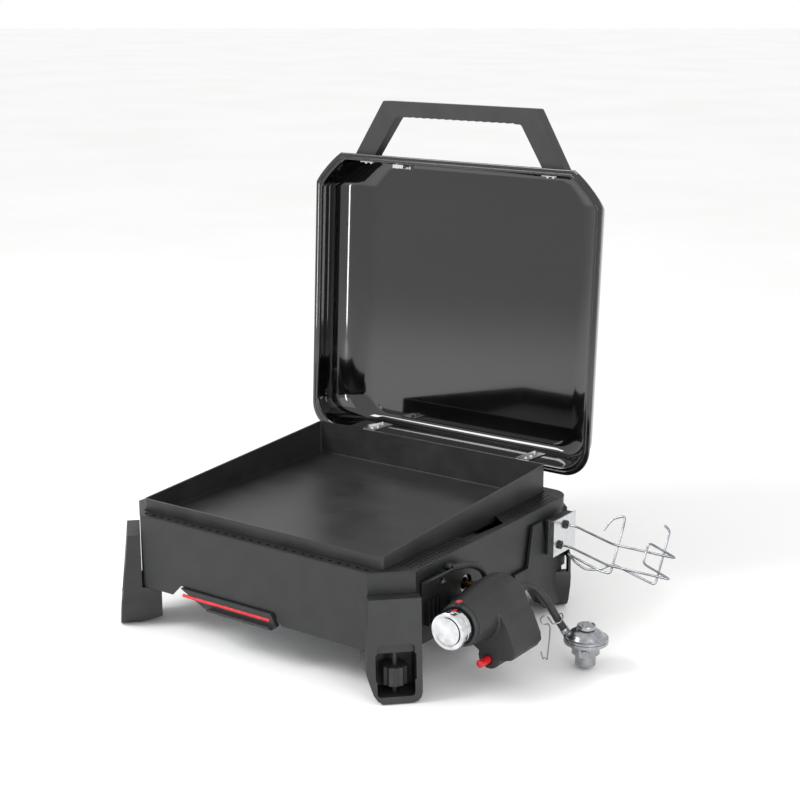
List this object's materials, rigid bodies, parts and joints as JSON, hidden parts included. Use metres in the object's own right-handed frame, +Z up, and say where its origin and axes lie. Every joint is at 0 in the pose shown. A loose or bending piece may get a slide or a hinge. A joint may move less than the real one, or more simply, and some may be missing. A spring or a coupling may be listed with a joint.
{
  "type": "folding camp grill",
  "caption": "Tabletop gas griddle with hinged deep lid, slide-out grease tray, levelling feet, side gas control with hose regulator and wire cylinder rack.",
  "frame": {"origin": "middle of the bounding box at ground level, measured without the hose and regulator", "axes": "+X to the right, +Y to the back, +Z up; the cook stands on the -Y side"},
  "size_m": [0.7372, 0.6046, 0.7438],
  "materials": {
    "black_painted_steel": "satin black baked paint",
    "gloss_black_enamel": "high gloss black enamel",
    "seasoned_steel": "dark seasoned rolled steel",
    "plated_steel": "bright plated or stainless steel",
    "ceramic": "fired ceramic insulator",
    "black_plastic": "textured black glass-filled nylon",
    "black_rubber": "matt black rubber",
    "red_plastic": "red moulded plastic",
    "chrome": "bright chrome",
    "brass": "turned brass",
    "die_cast_zinc": "cast light alloy, lightly polished",
    "galvanised_tray": "galvanised sheet"
  },
  "bodies": {
    "base": {"bracket_bolt": "plated_steel", "burner_bracket": "plated_steel", "burner_tube": "plated_steel", "electrode": "ceramic", "firebox_shell": "black_painted_steel", "gas_hose": "black_rubber", "gas_orifice": "brass", "gas_valve": "brass", "griddle_plate": "seasoned_steel", "hinge_bracket_left": "black_painted_steel", "hinge_bracket_right": "black_painted_steel", "hinge_pin_left": "plated_steel", "hinge_pin_right": "plated_steel", "hose_hook": "plated_steel", "housing_cover": "black_plastic", "housing_shell": "black_plastic", "igniter_module": "black_plastic", "knob_bezel": "black_plastic", "leg_front_left": "black_plastic", "leg_front_right": "black_plastic", "leg_rear_left": "black_plastic", "leg_rear_right": "black_plastic", "rack_cradle_wire": "plated_steel", "rack_frame_wire": "plated_steel", "rack_grommet_lower": "black_rubber", "rack_grommet_upper": "black_rubber", "rack_mount": "black_plastic", "rack_plate": "plated_steel", "regulator_body": "die_cast_zinc", "regulator_cap": "die_cast_zinc", "regulator_dome": "die_cast_zinc", "side_bracket": "black_painted_steel", "support_arm": "black_plastic", "top_frame": "black_painted_steel", "tray_rail_left": "plated_steel", "tray_rail_right": "plated_steel"},
    "lid": {"lid_shell": "gloss_black_enamel", "lid_handle": "black_plastic", "handle_plate_left": "plated_steel", "handle_plate_right": "plated_steel", "hinge_leaf_left": "black_painted_steel", "hinge_leaf_right": "black_painted_steel", "hinge_screws_left": "plated_steel", "hinge_screws_right": "plated_steel", "latch_bracket": "plated_steel"},
    "latch": {"latch_hook": "plated_steel"},
    "tray": {"grease_tray": "galvanised_tray", "tray_pull": "black_plastic", "tray_accent": "red_plastic"},
    "valve": {"valve_stem": "brass"},
    "knob": {"control_knob": "chrome"},
    "igniter": {"igniter_button": "red_plastic"},
    "foot_front_right": {"foot_pad_front_right": "black_rubber"},
    "wheel_front_right": {"foot_wheel_front_right": "black_plastic"},
    "foot_front_left": {"foot_pad_front_left": "black_rubber"},
    "wheel_front_left": {"foot_wheel_front_left": "black_plastic"},
    "foot_rear_right": {"foot_pad_rear_right": "black_rubber"},
    "wheel_rear_right": {"foot_wheel_rear_right": "black_plastic"},
    "foot_rear_left": {"foot_pad_rear_left": "black_rubber"},
    "wheel_rear_left": {"foot_wheel_rear_left": "black_plastic"}
  },
  "joints": [
    {"name": "lid_hinge", "type": "hinge", "parent": "base", "child": "lid", "pos_m": [-0.08913, 0.19938, 0.1726], "axis": [1, 0, 0], "range_deg": [0, 92.75]},
    {"name": "latch_swing", "type": "hinge", "parent": "lid", "child": "latch", "pos_m": [-0.19413, 0.24774, 0.63962], "axis": [1, 0, 0], "range_deg": [0, 20], "stiffness_Nm_per_rad": 0.08, "springref_deg": -17.19},
    {"name": "tray_slide", "type": "slide", "parent": "base", "child": "tray", "axis": [0, -1, 0], "range_m": [0, 0.22]},
    {"name": "valve_push", "type": "slide", "parent": "base", "child": "valve", "axis": [0, 1, 0], "range_m": [0, 0.003], "stiffness_N_per_m": 1500, "springref_m": -0.003},
    {"name": "knob_turn", "type": "hinge", "parent": "valve", "child": "knob", "pos_m": [0.21887, -0.23692, 0.103], "axis": [0, -1, 0], "range_deg": [0, 170]},
    {"name": "igniter_push", "type": "slide", "parent": "base", "child": "igniter", "axis": [0, 1, 0], "range_m": [0, 0.005], "stiffness_N_per_m": 1200, "springref_m": -0.003},
    {"name": "foot_front_right_slide", "type": "slide", "parent": "base", "child": "foot_front_right", "axis": [0, 0, -1], "range_m": [0, 0.004]},
    {"name": "foot_front_right_turn", "type": "hinge", "parent": "foot_front_right", "child": "wheel_front_right", "pos_m": [0.15086, -0.26191, 0.03], "axis": [0, 0, 1], "range_deg": [0, 720]},
    {"name": "foot_front_left_slide", "type": "slide", "parent": "base", "child": "foot_front_left", "axis": [0, 0, -1], "range_m": [0, 0.004]},
    {"name": "foot_front_left_turn", "type": "hinge", "parent": "foot_front_left", "child": "wheel_front_left", "pos_m": [-0.32911, -0.26191, 0.03], "axis": [0, 0, 1], "range_deg": [0, 720]},
    {"name": "foot_rear_right_slide", "type": "slide", "parent": "base", "child": "foot_rear_right", "axis": [0, 0, -1], "range_m": [0, 0.004]},
    {"name": "foot_rear_right_turn", "type": "hinge", "parent": "foot_rear_right", "child": "wheel_rear_right", "pos_m": [0.14377, 0.15898, 0.03], "axis": [0, 0, 1], "range_deg": [0, 720]},
    {"name": "foot_rear_left_slide", "type": "slide", "parent": "base", "child": "foot_rear_left", "axis": [0, 0, -1], "range_m": [0, 0.004]},
    {"name": "foot_rear_left_turn", "type": "hinge", "parent": "foot_rear_left", "child": "wheel_rear_left", "pos_m": [-0.32203, 0.15898, 0.03], "axis": [0, 0, 1], "range_deg": [0, 720]}
  ],
  "couplings": [
    {"joint": "foot_front_right_slide", "follows": "foot_front_right_turn", "m_per_rad": 0.00031831},
    {"joint": "foot_front_left_slide", "follows": "foot_front_left_turn", "m_per_rad": 0.00031831},
    {"joint": "foot_rear_right_slide", "follows": "foot_rear_right_turn", "m_per_rad": 0.00031831},
    {"joint": "foot_rear_left_slide", "follows": "foot_rear_left_turn", "m_per_rad": 0.00031831}
  ]
}
